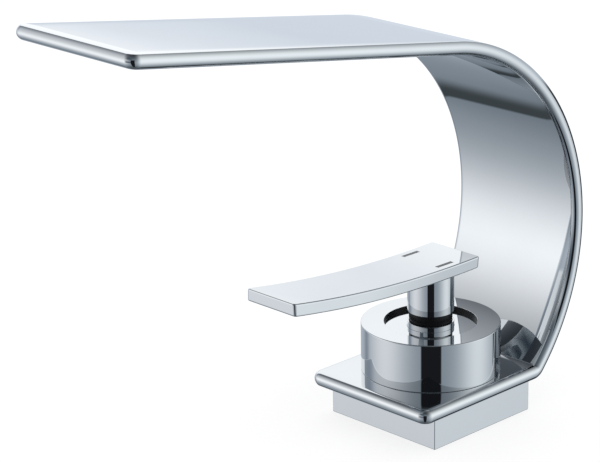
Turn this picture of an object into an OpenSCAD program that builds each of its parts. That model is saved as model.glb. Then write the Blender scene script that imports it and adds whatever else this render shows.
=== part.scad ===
// Single-lever basin faucet: a flat ribbon spout folded into an open C, its lower leaf clamped
// between a square base block and a round valve housing, with a flat lever on top of the housing.
// +Z is up, the spout points to -Y, and the origin is the middle of the base block's underside.

/* [Base block] */
// Width and depth of the square base block
base_w = 50; // [48:0.5:60]
// Height of the base block
base_h = 12.2; // [11:0.1:16]
// Tapping radius of the two hose inlets, for an M10 x 1 thread
inlet_r = 4.5; // [4:0.1:4.8]
// Depth of the inlet threads
inlet_depth = 7; // [5:0.5:7.5]
// Distance of each inlet from the middle, across the faucet
inlet_x = 7.5; // [6.5:0.1:8.5]
// Distance of both inlets in front of the middle
inlet_y = 4.5; // [4:0.1:5.5]
// Tapping radius of the mounting stud's hole, for M8
stud_r = 3.4; // [3:0.1:3.8]
// Depth of the stud's hole
stud_depth = 7.5; // [5:0.5:8]
// Distance of the stud's hole behind the middle
stud_y = 10; // [6:0.5:12]

/* [Spout ribbon] */
// Width of the ribbon
ribbon_w = 56.5; // [54:0.5:66]
// Thickness of the ribbon, whose edges are fully rounded
ribbon_t = 5; // [4.8:0.1:6.4]
// Radius of the ribbon's corners in plan
corner_r = 4; // [3.4:0.1:8]
// How far the lower leaf reaches in front of the middle
leaf_front = 33.1; // [31.5:0.1:45]
// Radius of the arch along the middle of the ribbon
arch_r = 76.3; // [70:0.1:85]
// How far the arch's middle line stands behind the middle of the faucet
arch_back = 48.3; // [44:0.1:55]
// Height of the arch's centre over the lower leaf's middle plane
arch_lift = 52.9; // [48:0.1:58]
// Angle at which the spout rises towards its tip, in degrees
spout_rise = 9.5; // [0:0.5:15]
// Distance of the spout's tip in front of the middle of the faucet
spout_reach = 158.4; // [120:0.1:200]
// Radius of the tight fold along the middle of the ribbon
fold_r = 3.5; // [3.3:0.1:8]
// Width of the water channel inside the ribbon
channel_w = 40; // [30:0.5:42]
// Height of the water channel inside the ribbon
channel_t = 2.6; // [2:0.1:2.8]

/* [Outlet] */
// Length of the outlet slot along the spout
outlet_l = 4.4; // [3:0.1:6]
// Distance from the spout's end to the outlet slot
outlet_inset = 5.5; // [5:0.1:10]
// Number of slits in the flow guide
guide_slits = 14; // [6:1:18]

/* [Valve housing] */
// Outer diameter of the housing sleeve
sleeve_d = 50; // [49.4:0.1:54]
// Height of the housing sleeve over the lower leaf
sleeve_h = 17.7; // [17.3:0.1:22]
// Diameter of the round recess on top
recess_d = 33.5; // [32.5:0.1:35.5]
// Depth of the round recess
recess_depth = 1.65; // [1.4:0.05:2.2]
// Diameter of the ceramic cartridge
cartridge_d = 35; // [34.5:0.1:35.4]
// Wall of the valve body around the cartridge
spigot_wall = 2.4; // [2:0.1:2.6]

/* [Lever] */
// Diameter of the lever's stem and of the neck ring under it
stem_d = 16.8; // [16.4:0.1:18]
// Height of the open gap between the neck ring and the stem
lever_gap = 3.5; // [3.2:0.1:4.5]
// Radius of the ball skirt that shows in the gap
skirt_r = 7.8; // [7.6:0.05:7.85]
// Width of the lever bar on its upper face
bar_w = 22.2; // [20:0.1:30]
// How much each side of the bar widens towards its lower face
bar_draft = 0.6; // [0:0.1:1.5]
// Thickness of the lever bar
bar_t = 4.5; // [4.2:0.1:8]
// Reach of the bar in front of the stem's axis
bar_front = 78.5; // [50:0.5:110]
// Reach of the bar behind the stem's axis
bar_back = 13.4; // [10:0.1:20]
// Radius of the bar's upward curve
bar_curve_r = 488; // [300:1:900]
// Height of the bar's upper face over the housing's rim, at its lowest line
bar_top = 23.55; // [23:0.05:30]
// How far behind the stem's axis the bar is lowest
bar_low_y = 5; // [0:0.5:8]
// Length of each temperature mark on the bar
mark_l = 8.1; // [5:0.1:12]
// Width of each temperature mark
mark_w = 1.6; // [1:0.1:2.4]
// Distance of each mark's middle from the bar's middle line
mark_x = 8.1; // [7:0.1:9]

/* [Hidden] */
$fn = 96;
// Overrun of cuts past the face that they leave
cut = 0.5;
// Length and inset of the cores that join the ribbon's runs, and the hairline between their skins
link_l = 0.8;
link_in = 0.1;
hairline = 0.003;
// How much narrower and lower each next run of the channel is
step_w = 1;
step_t = 0.3;
// Radial clearance of parts that turn in each other
run_fit = 0.05;
// Clearance of parts that are only put into each other
slip = 0.1;

// Lower leaf, arch, fold and straight spout, in the plane of symmetry
ribbon_r = ribbon_t / 2;
leaf_mid_z = base_h + ribbon_r;
leaf_top_z = base_h + ribbon_t;
arch_y = arch_back - arch_r;
arch_z = leaf_mid_z + arch_lift;
fold_y = arch_y + sqrt(pow(arch_r - fold_r, 2) - pow(arch_lift - fold_r, 2));
fold_z = leaf_mid_z + fold_r;
fold_start = atan2(arch_lift - fold_r, fold_y - arch_y);
arch_sweep = 90 - spout_rise + fold_start;
spring_y = arch_y + arch_r * sin(spout_rise);
spring_z = arch_z + arch_r * cos(spout_rise);
spout_l = (spring_y + spout_reach - ribbon_r) / cos(spout_rise) + ribbon_r;

// Base block's inside
seat_drop = 3;
seat_z = base_h - seat_drop;
groove_floor = 5;
port_r = 2.2;
port_x = 6;
port_y = 4.5;
deck_seal_w = 3;
deck_seal_t = 2.4;
clamp_r = 2;
clamp_head_r = 3.5;
clamp_head_h = 4;
clamp_wall = 2.6;
clamp_leaf_wall = 4.1;
clamp_bite = 3.6;
hex_r = 1.7;
hex_depth = 2;

// Valve body: a spigot through the leaf, screwed into the base block, and a collar on the leaf
rim_z = leaf_top_z + sleeve_h;
floor_z = rim_z - recess_depth;
cap_t = 2;
cap_z = floor_z - cap_t;
cartridge_r = cartridge_d / 2;
bore_r = cartridge_r + slip;
spigot_r = bore_r + spigot_wall;
collar_r = spigot_r + 2.7 * spigot_wall / 2.4;
nut_r = bore_r + 0.9 * spigot_wall / 2.4;
nut_h = 4.75;
nut_z = cap_z - nut_h;
foot_gap = 0.2;
window_w = 18;
seal_w = 1.4;
seal_t = 1.1;
collar_seal_r = spigot_r + 1.3 * spigot_wall / 2.4;
leaf_seal_r = spigot_r + 1.8 * spigot_wall / 2.4;

// Clamp screws outside the leaf's seal, and the deck seal inside their heads
clamp_out = leaf_seal_r + seal_w / 2 + clamp_leaf_wall + clamp_r + slip;
clamp_xy = clamp_out / sqrt(2);
deck_seal_r = clamp_out - clamp_head_r - slip - clamp_wall - deck_seal_w / 2;

// Sleeve, recess ring and cap disc
lip_t = 0.5;
ring_w = 1.35;
cap_r = recess_d / 2 + ring_w;

// Cartridge, from its seat up
base_t = 8;
disc_z = seat_z + base_t;
gallery_h = channel_t + 0.4 * ribbon_t / 5;
gallery_depth = 2;
side_seal = 1.2;
fixed_disc_t = 3;
fixed_disc_r = cartridge_r - 2.4 * cartridge_d / 35;
moving_disc_t = 2.6;
moving_disc_r = 10.4;
mixed_y = 3.25;
mixed_w = 6;
mixed_l = 3.5;
carrier_t = 3.2;
carrier_flat = 9.4;
rotor_r = 13.6;
shell_top_t = 1.9;
shell_gap = 0.15;
shell_neck_r = rotor_r + 2.6;
moving_z = disc_z + fixed_disc_t;
carrier_z = moving_z + moving_disc_t;
carrier_top = carrier_z + carrier_t;
shell_top = cap_z - run_fit;
drum_top = shell_top - shell_top_t - shell_gap;
drum_z = carrier_top + shell_gap;
inlet_seal_r = 3.6;
inlet_seal_t = 1;

// Lever's pivot and the pieces on it
neck_over = 0.3;
neck_top = rim_z + neck_over;
stem_r = stem_d / 2;
stem_z = neck_top + lever_gap;
pivot_z = neck_top + lever_gap / 2;
shoulder_z = floor_z - 1.2;
ear_in = 2.75;
ear_out = 4.6;
ear_r = 2.5;
pin_r = 1.5;
web_h = 3.1;
spindle_w = 8;
spindle_top = 9.1;
stem_chamfer = 0.5;
ball_r = 2.5;
ball_neck_r = 1.6;
ball_z = carrier_z + ball_r + slip;
lever_tilt = 20;
skirt_wall = 0.7;
skirt_plug_r = 7.3;
skirt_plug_wall = 0.9;
skirt_plate = 1;
skirt_cut = 3.3;
plug_h = 2.4;
socket_top = 13;
bar_screw_r = 2;
bar_screw_head_r = 3.5;
bar_screw_head_h = 3.8;
bar_screw_bite = 3;
grub_r = 2.5;
grub_up = 8;
grub_l = 3.1;
grub_cap_t = 1.1;
mark_t = 0.5;
mark_y = -1.75;
bar_top_z = rim_z + bar_top;
bar_centre_z = bar_top_z + bar_curve_r;

// Flow guide in the outlet slot, in the straight spout's own frame
outlet_y = -spout_l + outlet_inset + outlet_l / 2;
guide_rim_w = 3.2;
guide_rim_l = 1.1;
guide_rim_t = 0.6;
guide_deep = 2.2;
guide_screw_r = 0.8;
guide_screw_head_r = 1.3;
guide_screw_l = 2.2;
guide_screw_x = channel_w / 2 + guide_rim_w / 2;

// Turns a shape so that its Z axis lies along X, with its X axis along Y, about a line at y, z
module about_x(y, z) {
    translate([0, y, z])
        rotate([90, 0, 90])
            children();
}

module at_each_side() {
    children();
    mirror([1, 0, 0])
        children();
}

module tube(r_out, r_in, h) {
    difference() {
        cylinder(r = r_out, h = h);
        translate([0, 0, -cut])
            cylinder(r = r_in, h = h + 2 * cut);
    }
}

module block(x, y, z) {
    translate([-x / 2, -y / 2, 0])
        cube([x, y, z]);
}

// Straight spout's own frame: origin where the arch ends, tip towards -Y, middle plane at z = 0
module on_spout() {
    translate([0, spring_y, spring_z])
        rotate([-spout_rise, 0, 0])
            children();
}

// Section of a flat bar of width w and thickness t whose edges are fully rounded
module rounded_section(w, t) {
    square([w - t, t], center = true);
    for (side = [-1, 1])
        translate([side * (w - t) / 2, 0])
            circle(d = t);
}

// Core over the end of a run, a little inside its skin
module link() {
    linear_extrude(2 * link_l, center = true)
        rounded_section(ribbon_w - 2 * link_in, ribbon_t - 2 * link_in);
}

module half_round(t) {
    intersection() {
        circle(d = t);
        translate([0, -t])
            square([t, 2 * t]);
    }
}

// Flat run of the ribbon from y = 0 to its rounded end at y = -l, with rounded corners
module ribbon_run(l) {
    inner = corner_r - ribbon_r;
    straight = l - corner_r;
    mid = ribbon_w - 2 * corner_r;
    translate([0, -hairline, 0])
        rotate([90, 0, 0])
            linear_extrude(straight - hairline)
                rounded_section(ribbon_w, ribbon_t);
    rotate([90, 0, 0])
        link();
    translate([mid / 2, -straight, 0])
        rotate([0, -90, 0])
            linear_extrude(mid)
                rotate([0, 0, -90]) {
                    translate([0, -ribbon_r])
                        square([inner, ribbon_t]);
                    translate([inner, 0])
                        half_round(ribbon_t);
                }
    at_each_side()
        translate([mid / 2, -straight, 0])
            rotate([0, 0, -90])
                rotate_extrude(angle = 90) {
                    translate([0, -ribbon_r])
                        square([inner, ribbon_t]);
                    translate([inner, 0])
                        half_round(ribbon_t);
                }
}

// Solid ribbon: lower leaf, fold, arch and straight spout
module ribbon_solid() {
    translate([0, fold_y, leaf_mid_z])
        ribbon_run(leaf_front + fold_y);
    about_x(fold_y, fold_z)
        rotate([0, 0, -90])
            rotate_extrude(angle = 90 - fold_start)
                translate([fold_r, 0])
                    rotate([0, 0, 90])
                        rounded_section(ribbon_w, ribbon_t);
    about_x(arch_y, arch_z)
        rotate([0, 0, -fold_start]) {
            rotate([0, 0, 180 * hairline / arch_r / PI])
                rotate_extrude(angle = arch_sweep - 180 * hairline / arch_r / PI)
                    translate([arch_r, 0])
                        rotate([0, 0, 90])
                            rounded_section(ribbon_w, ribbon_t);
            translate([arch_r, 0, 0])
                rotate([90, 0, 0])
                    rotate([0, 0, 90])
                        link();
        }
    on_spout()
        ribbon_run(spout_l);
}

// Water channel from the valve body's window to the outlet slot
module channel() {
    start_y = spigot_r * 0.6;
    low_w = channel_w - step_w;
    low_t = channel_t - step_t;
    tip_w = low_w - step_w;
    tip_t = low_t - step_t;
    link_angle = 180 * link_l / arch_r / PI;
    translate([0, (start_y + fold_y + link_l) / 2, leaf_mid_z - low_t / 2])
        block(low_w, fold_y + link_l - start_y, low_t);
    about_x(fold_y, fold_z)
        rotate([0, 0, -90])
            rotate_extrude(angle = 90 - fold_start)
                translate([fold_r, 0])
                    square([channel_t, channel_w], center = true);
    about_x(arch_y, arch_z)
        rotate([0, 0, -fold_start - link_angle])
            rotate_extrude(angle = arch_sweep + link_angle)
                translate([arch_r, 0])
                    square([low_t, low_w], center = true);
    on_spout() {
        end_y = outlet_y - outlet_l / 2;
        translate([0, (end_y + link_l) / 2, -tip_t / 2])
            block(tip_w, link_l - end_y, tip_t);
    }
}

// Places its children at each clamp screw in front of the housing
module at_clamps() {
    at_each_side()
        translate([clamp_xy, -clamp_xy, 0])
            children();
}

// Places its children at each inlet port of the cartridge
module at_ports() {
    at_each_side()
        translate([port_x, -port_y, 0])
            children();
}

module base_block() {
    color("lightgray")
        difference() {
            block(base_w, base_w, base_h);
            translate([0, 0, seat_z])
                cylinder(r = spigot_r, h = seat_drop + cut);
            translate([0, 0, groove_floor])
                tube(spigot_r, bore_r, base_h);
            translate([0, 0, base_h - seal_t])
                tube(leaf_seal_r + seal_w / 2, leaf_seal_r - seal_w / 2, seal_t + cut);
            translate([0, 0, -cut])
                tube(deck_seal_r + deck_seal_w / 2, deck_seal_r - deck_seal_w / 2, deck_seal_t + cut);
            at_each_side()
                translate([inlet_x, -inlet_y, -cut])
                    cylinder(r = inlet_r, h = inlet_depth + cut);
            at_ports()
                translate([0, 0, inlet_depth - cut])
                    cylinder(r = port_r, h = base_h);
            translate([0, stud_y, -cut])
                cylinder(r = stud_r, h = stud_depth + cut);
            at_clamps() {
                translate([0, 0, -cut])
                    cylinder(r = clamp_head_r + slip, h = clamp_head_h + slip + cut);
                cylinder(r = clamp_r + slip, h = base_h + cut);
            }
        }
}

module deck_seal() {
    color("dimgray")
        tube(deck_seal_r + deck_seal_w / 2, deck_seal_r - deck_seal_w / 2, deck_seal_t);
}

// Two socket screws that hold the leaf's front on the base block
module clamp_screws() {
    color("gray")
        at_clamps()
            difference() {
                union() {
                    translate([0, 0, slip])
                        cylinder(r = clamp_head_r, h = clamp_head_h);
                    translate([0, 0, slip])
                        cylinder(r = clamp_r, h = base_h + clamp_bite - slip);
                }
                translate([0, 0, -cut])
                    cylinder(r = hex_r, h = hex_depth + cut, $fn = 6);
            }
}

module spout_ribbon() {
    color("silver")
        difference() {
            ribbon_solid();
            channel();
            translate([0, 0, base_h - cut])
                cylinder(r = spigot_r + run_fit, h = ribbon_t + 2 * cut);
            at_clamps()
                translate([0, 0, base_h - cut])
                    cylinder(r = clamp_r, h = clamp_bite + cut);
            on_spout() {
                translate([0, outlet_y, -ribbon_t])
                    block(channel_w, outlet_l, ribbon_t);
                translate([0, outlet_y, -ribbon_t])
                    block(channel_w + 2 * guide_rim_w, outlet_l + 2 * guide_rim_l,
                          ribbon_r + guide_rim_t);
                at_each_side()
                    translate([guide_screw_x, outlet_y, -ribbon_t])
                        cylinder(r = guide_screw_r, h = ribbon_r + guide_screw_l);
            }
        }
}

// Slotted strip that spreads the water into a flat sheet
module flow_guide() {
    rim_l = outlet_l + 2 * guide_rim_l;
    pitch = (channel_w - 2 * slip) / guide_slits;
    slit_share = 0.6;
    color("dimgray")
        on_spout()
            difference() {
                union() {
                    translate([0, outlet_y, -ribbon_r])
                        block(channel_w + 2 * (guide_rim_w - slip), rim_l - 2 * slip, guide_rim_t);
                    translate([0, outlet_y, -ribbon_r])
                        block(channel_w - 2 * slip, outlet_l - 2 * slip, guide_deep);
                }
                for (i = [0 : guide_slits - 1])
                    translate([(i - (guide_slits - 1) / 2) * pitch, outlet_y, -ribbon_r - cut])
                        block(pitch * slit_share, outlet_l * slit_share, guide_deep + 2 * cut);
                at_each_side()
                    translate([guide_screw_x, outlet_y, -ribbon_r - cut])
                        cylinder(r = guide_screw_r + slip, h = guide_rim_t + 2 * cut);
            }
}

module guide_screws() {
    head_h = 0.5 * guide_rim_t;
    color("gray")
        on_spout()
            at_each_side()
                translate([guide_screw_x, outlet_y, -ribbon_r - head_h])
                    difference() {
                        union() {
                            cylinder(r = guide_screw_head_r, h = head_h);
                            cylinder(r = guide_screw_r, h = guide_screw_l);
                        }
                        translate([0, 0, -cut])
                            cylinder(r = guide_screw_r / 2, h = head_h / 2 + cut, $fn = 6);
                    }
}

// Brass body: bored for the cartridge, threaded below into the base block and above for the nut
module valve_body() {
    spigot_z = groove_floor + foot_gap;
    color("goldenrod")
        difference() {
            union() {
                translate([0, 0, spigot_z])
                    cylinder(r = spigot_r, h = cap_z - spigot_z);
                translate([0, 0, leaf_top_z])
                    cylinder(r = collar_r, h = cap_z - leaf_top_z);
            }
            translate([0, 0, spigot_z - cut])
                cylinder(r = bore_r, h = cap_z - spigot_z + 2 * cut);
            translate([0, 0, nut_z])
                cylinder(r = nut_r, h = nut_h + cut);
            translate([0, spigot_r, leaf_mid_z - channel_t / 2])
                block(window_w, spigot_r, channel_t);
            translate([0, 0, leaf_top_z - cut])
                tube(collar_seal_r + seal_w / 2, collar_seal_r - seal_w / 2, seal_t + cut);
        }
}

module collar_seal() {
    color("dimgray")
        translate([0, 0, leaf_top_z])
            tube(collar_seal_r + seal_w / 2, collar_seal_r - seal_w / 2, seal_t);
}

module leaf_seal() {
    color("dimgray")
        translate([0, 0, base_h - seal_t])
            tube(leaf_seal_r + seal_w / 2, leaf_seal_r - seal_w / 2, seal_t);
}

module housing_sleeve() {
    color("silver")
        translate([0, 0, leaf_top_z])
            difference() {
                cylinder(d = sleeve_d, h = sleeve_h);
                translate([0, 0, -cut])
                    cylinder(r = collar_r + run_fit, h = cap_z - leaf_top_z + cut);
                cylinder(r = cap_r + run_fit, h = sleeve_h - lip_t);
                cylinder(d = recess_d, h = sleeve_h + cut);
            }
}

// Black ring that lines the recess between the cap disc and the sleeve's lip
module recess_ring() {
    color("black")
        translate([0, 0, floor_z])
            tube(cap_r, recess_d / 2 + run_fit, recess_depth - lip_t);
}

module cap_disc() {
    color("silver")
        translate([0, 0, cap_z])
            tube(cap_r, stem_r + run_fit, cap_t);
}

module lock_nut() {
    notches = 4;
    notch_w = 3.5;
    notch_h = 1.6;
    color("goldenrod")
        translate([0, 0, nut_z])
            difference() {
                tube(nut_r, shell_neck_r + slip, nut_h);
                for (i = [0 : notches / 2 - 1])
                    rotate([0, 0, i * 180 / (notches / 2)])
                        translate([0, 0, nut_h - notch_h])
                            block(2 * (nut_r + cut), notch_w, notch_h + cut);
            }
}

// Cartridge foot: two inlet ports, and a mixed port that opens into a gallery round the outside
module cartridge_base() {
    gallery_z = leaf_mid_z - seat_z - gallery_h / 2;
    duct_y = mixed_y - mixed_l / 2;
    color("whitesmoke")
        translate([0, 0, seat_z])
            difference() {
                cylinder(r = cartridge_r, h = base_t);
                translate([0, 0, gallery_z])
                    tube(cartridge_r + cut, cartridge_r - gallery_depth, gallery_h);
                translate([0, mixed_y, gallery_z])
                    block(mixed_w, mixed_l, base_t);
                translate([0, duct_y + cartridge_r / 2, gallery_z])
                    block(mixed_w, cartridge_r, gallery_h);
                at_ports()
                    translate([0, 0, -cut]) {
                        cylinder(r = port_r, h = base_t + 2 * cut);
                        cylinder(r = inlet_seal_r, h = inlet_seal_t + cut);
                    }
                translate([0, 0, side_seal])
                    tube(cartridge_r + cut, cartridge_r - side_seal, side_seal);
            }
}

// Two rubber rings under the cartridge's inlet ports
module inlet_seals() {
    color("dimgray")
        at_ports()
            translate([0, 0, seat_z])
                tube(inlet_seal_r, port_r, inlet_seal_t);
}

// Two rubber rings round the cartridge, below and above the gallery
module cartridge_seals() {
    color("dimgray")
        for (z = [seat_z + side_seal, disc_z + side_seal])
            translate([0, 0, z])
                tube(cartridge_r, cartridge_r - side_seal, side_seal);
}

module cartridge_shell() {
    shell_h = shell_top - disc_z;
    color("whitesmoke")
        translate([0, 0, disc_z])
            difference() {
                union() {
                    cylinder(r = cartridge_r, h = nut_z - disc_z);
                    cylinder(r = shell_neck_r, h = shell_h);
                }
                translate([0, 0, -cut])
                    cylinder(r = fixed_disc_r + run_fit, h = drum_z - shell_gap - disc_z + cut);
                cylinder(r = rotor_r + shell_gap, h = shell_h - shell_top_t);
                cylinder(r = stem_r + run_fit, h = shell_h + cut);
                translate([0, 0, side_seal])
                    tube(cartridge_r + cut, cartridge_r - side_seal, side_seal);
            }
}

module fixed_disc() {
    color("white")
        translate([0, 0, disc_z])
            difference() {
                cylinder(r = fixed_disc_r, h = fixed_disc_t);
                at_ports()
                    translate([0, 0, -cut])
                        cylinder(r = port_r, h = fixed_disc_t + 2 * cut);
                translate([0, mixed_y, -cut])
                    block(mixed_w, mixed_l, fixed_disc_t + 2 * cut);
            }
}

// Sliding disc, with the mixing pocket on its underside
module moving_disc() {
    pocket_front = 1.2;
    pocket_w = 14.4;
    pocket_l = 4.2;
    pocket_back = 7.5;
    pocket_neck = 7;
    pocket_t = 1.4;
    color("white")
        translate([0, 0, moving_z])
            difference() {
                cylinder(r = moving_disc_r, h = moving_disc_t);
                translate([0, pocket_l / 2 - pocket_front, -cut])
                    block(pocket_w, pocket_l, pocket_t + cut);
                translate([0, (pocket_back - pocket_front) / 2, -cut])
                    block(pocket_neck, pocket_back + pocket_front, pocket_t + cut);
            }
}

// Carrier that the ball moves: a round plate with two flats, and a well for the ball
module disc_carrier() {
    color("orange")
        translate([0, 0, carrier_z])
            difference() {
                intersection() {
                    cylinder(r = moving_disc_r, h = carrier_t);
                    block(2 * carrier_flat, 2 * moving_disc_r + 2 * cut, carrier_t);
                }
                translate([0, 0, -cut])
                    cylinder(r = ball_r + slip, h = carrier_t + 2 * cut);
            }
}

// Turning piece of the cartridge: drum with guides for the carrier, collar and two pivot ears
module rotor() {
    guide_in = carrier_flat + slip;
    guide_w = 3;
    guide_l = 10;
    guide_z = carrier_z + 2 * slip;
    slot_back = 3;
    slot_low = 7.6;
    slot_high = 5.8;
    ear_h = pivot_z - shoulder_z;
    color("khaki")
        difference() {
            union() {
                translate([0, 0, drum_z])
                    cylinder(r = rotor_r, h = drum_top - drum_z);
                translate([0, 0, drum_z])
                    cylinder(r = stem_r, h = shoulder_z - drum_z);
                at_each_side() {
                    translate([guide_in + guide_w / 2, 0, guide_z])
                        block(guide_w, guide_l, drum_z - guide_z + cut);
                    translate([(ear_in + ear_out) / 2, 0, shoulder_z - cut])
                        block(ear_out - ear_in, 2 * ear_r, ear_h + cut);
                    translate([ear_in, 0, pivot_z])
                        rotate([0, 90, 0])
                            cylinder(r = ear_r, h = ear_out - ear_in);
                }
            }
            translate([0, (slot_back - slot_low) / 2, drum_z - cut])
                block(2 * ear_in, slot_back + slot_low, drum_top - drum_z + 2 * cut);
            translate([0, (slot_back - slot_high) / 2, drum_z])
                block(2 * ear_in, slot_back + slot_high, shoulder_z - drum_z + cut);
            translate([-ear_out - cut, 0, pivot_z])
                rotate([0, 90, 0])
                    cylinder(r = pin_r, h = 2 * (ear_out + cut));
        }
}

// Chrome ring round the ball skirt, which turns with the rotor
module neck_ring() {
    color("silver")
        translate([0, 0, shoulder_z])
            tube(stem_r, skirt_r + run_fit, neck_top - shoulder_z);
}

module pivot_pin() {
    color("gray")
        translate([-ear_out, 0, pivot_z])
            rotate([0, 90, 0])
                cylinder(r = pin_r, h = 2 * ear_out);
}

// Steel spindle: square above the pivot, a flat web through it, and the ball that moves the carrier
module lever_spindle() {
    web_z = drum_z + 1.3 * ball_r / 2.5;
    web_w = 2 * (ear_in - run_fit);
    color("gray")
        difference() {
            union() {
                translate([0, 0, pivot_z + web_h])
                    block(spindle_w, spindle_w, spindle_top - web_h);
                translate([0, 0, web_z])
                    block(web_w, 2 * ear_r, pivot_z + web_h - web_z);
                translate([0, 0, ball_z])
                    cylinder(r = ball_neck_r, h = web_z - ball_z + cut);
                translate([0, 0, ball_z])
                    sphere(r = ball_r);
            }
            translate([-ear_in, 0, pivot_z])
                rotate([0, 90, 0])
                    cylinder(r = pin_r + run_fit, h = 2 * ear_in);
        }
}

// Black ball zone about the pivot, so that it fills the gap at every tilt, with a plug in the stem
module ball_skirt() {
    plate_z = stem_z + plug_h - skirt_plate;
    color("black")
        difference() {
            union() {
                intersection() {
                    translate([0, 0, pivot_z])
                        sphere(r = skirt_r);
                    translate([0, 0, pivot_z])
                        rotate([lever_tilt / 2, 0, 0])
                            translate([0, 0, -skirt_cut])
                                cylinder(r = 2 * skirt_r, h = 2 * skirt_r);
                    cylinder(r = 2 * skirt_r, h = stem_z);
                }
                translate([0, 0, pivot_z])
                    cylinder(r = skirt_plug_r, h = stem_z + plug_h - pivot_z);
            }
            intersection() {
                translate([0, 0, pivot_z])
                    sphere(r = skirt_r - skirt_wall);
                cylinder(r = 2 * skirt_r, h = plate_z);
            }
            translate([0, 0, pivot_z])
                cylinder(r = skirt_plug_r - skirt_plug_wall, h = plate_z - pivot_z);
            translate([0, 0, pivot_z])
                block(spindle_w + 2 * run_fit, spindle_w + 2 * run_fit, 2 * skirt_r);
        }
}

module lever_stem() {
    socket_w = spindle_w + 2 * run_fit;
    color("silver")
        difference() {
            union() {
                translate([0, 0, stem_z])
                    cylinder(r1 = stem_r - stem_chamfer, r2 = stem_r, h = stem_chamfer);
                translate([0, 0, stem_z + stem_chamfer])
                    cylinder(r = stem_r, h = bar_top_z - stem_z - stem_chamfer);
            }
            about_x(bar_low_y, bar_centre_z)
                translate([0, 0, -stem_d])
                    cylinder(r = bar_curve_r + bar_t, h = 2 * stem_d, $fn = 256);
            translate([0, 0, stem_z - cut])
                cylinder(r = skirt_plug_r + run_fit, h = plug_h + cut);
            translate([0, 0, stem_z])
                block(socket_w, socket_w, pivot_z + socket_top - stem_z);
            cylinder(r = bar_screw_r + slip, h = bar_top_z);
            translate([0, 0, pivot_z + grub_up])
                rotate([-90, 0, 0])
                    cylinder(r = grub_r, h = stem_d);
        }
}

// Shape between two arcs about the bar's curve centre, over the width of one mark
module mark(side) {
    intersection() {
        about_x(bar_low_y, bar_centre_z)
            translate([0, 0, side * mark_x - mark_w / 2])
                tube(bar_curve_r + mark_t, bar_curve_r, mark_w, $fn = 256);
        translate([side * mark_x, mark_y, bar_top_z - bar_t])
            block(mark_w, mark_l, 2 * bar_t);
    }
}

// Flat bar that curves up towards its end, with sides that widen downwards
module lever_bar() {
    end_angle = asin((bar_front + bar_low_y + bar_t) / bar_curve_r);
    back_angle = asin((bar_back + bar_t) / bar_curve_r);
    color("silver")
        difference() {
            intersection() {
                about_x(bar_low_y, bar_centre_z)
                    rotate([0, 0, -90 - end_angle])
                        rotate_extrude(angle = end_angle + back_angle, $fn = 256)
                            translate([bar_curve_r, 0])
                                polygon([[0, -bar_w / 2], [bar_t, -bar_w / 2 - bar_draft],
                                         [bar_t, bar_w / 2 + bar_draft], [0, bar_w / 2]]);
                translate([0, (bar_back - bar_front) / 2, bar_top_z - 2 * bar_t])
                    block(2 * bar_w, bar_back + bar_front, bar_front);
            }
            mark(-1);
            mark(1);
            cylinder(r = bar_screw_r, h = bar_top_z - bar_t + bar_screw_bite);
        }
}

// Socket screw from inside the stem into the bar
module bar_screw() {
    seat = pivot_z + socket_top;
    color("gray")
        difference() {
            union() {
                translate([0, 0, seat - bar_screw_head_h])
                    cylinder(r = bar_screw_head_r, h = bar_screw_head_h);
                translate([0, 0, seat - bar_screw_head_h])
                    cylinder(r = bar_screw_r, h = bar_top_z - bar_t + bar_screw_bite - slip
                             - seat + bar_screw_head_h);
            }
            translate([0, 0, seat - bar_screw_head_h - cut])
                cylinder(r = hex_r, h = hex_depth + cut, $fn = 6);
        }
}

module grub_screw() {
    color("gray")
        translate([0, spindle_w / 2 + run_fit, pivot_z + grub_up])
            rotate([-90, 0, 0])
                difference() {
                    cylinder(r = grub_r, h = grub_l);
                    translate([0, 0, grub_l - hex_depth])
                        cylinder(r = hex_r * 0.75, h = hex_depth + cut, $fn = 6);
                }
}

// Chrome plug over the grub screw, cut to the stem's round
module grub_cap() {
    color("silver")
        intersection() {
            translate([0, stem_r - grub_cap_t, pivot_z + grub_up])
                rotate([-90, 0, 0])
                    cylinder(r = grub_r, h = 2 * grub_cap_t);
            cylinder(r = stem_r, h = bar_top_z);
        }
}

module hot_mark() {
    color("gray")
        mark(-1);
}

module cold_mark() {
    color("gray")
        mark(1);
}

base_block();
deck_seal();
clamp_screws();
spout_ribbon();
flow_guide();
guide_screws();
valve_body();
collar_seal();
leaf_seal();
housing_sleeve();
recess_ring();
cap_disc();
lock_nut();
cartridge_base();
inlet_seals();
cartridge_seals();
cartridge_shell();
fixed_disc();
moving_disc();
disc_carrier();
rotor();
neck_ring();
pivot_pin();
lever_spindle();
ball_skirt();
lever_stem();
lever_bar();
bar_screw();
grub_screw();
grub_cap();
hot_mark();
cold_mark();
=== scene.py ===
"""Looks of a single-lever basin faucet with a folded ribbon spout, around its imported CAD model.

Sizes are in millimetres until a mesh is made. +Z is up, the spout points to -Y.
"""

import logging
import math
from collections.abc import Callable, Sequence
from dataclasses import dataclass
from enum import Enum

import bmesh
import bpy
import numpy as np
from mathutils import Matrix, Vector


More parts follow.
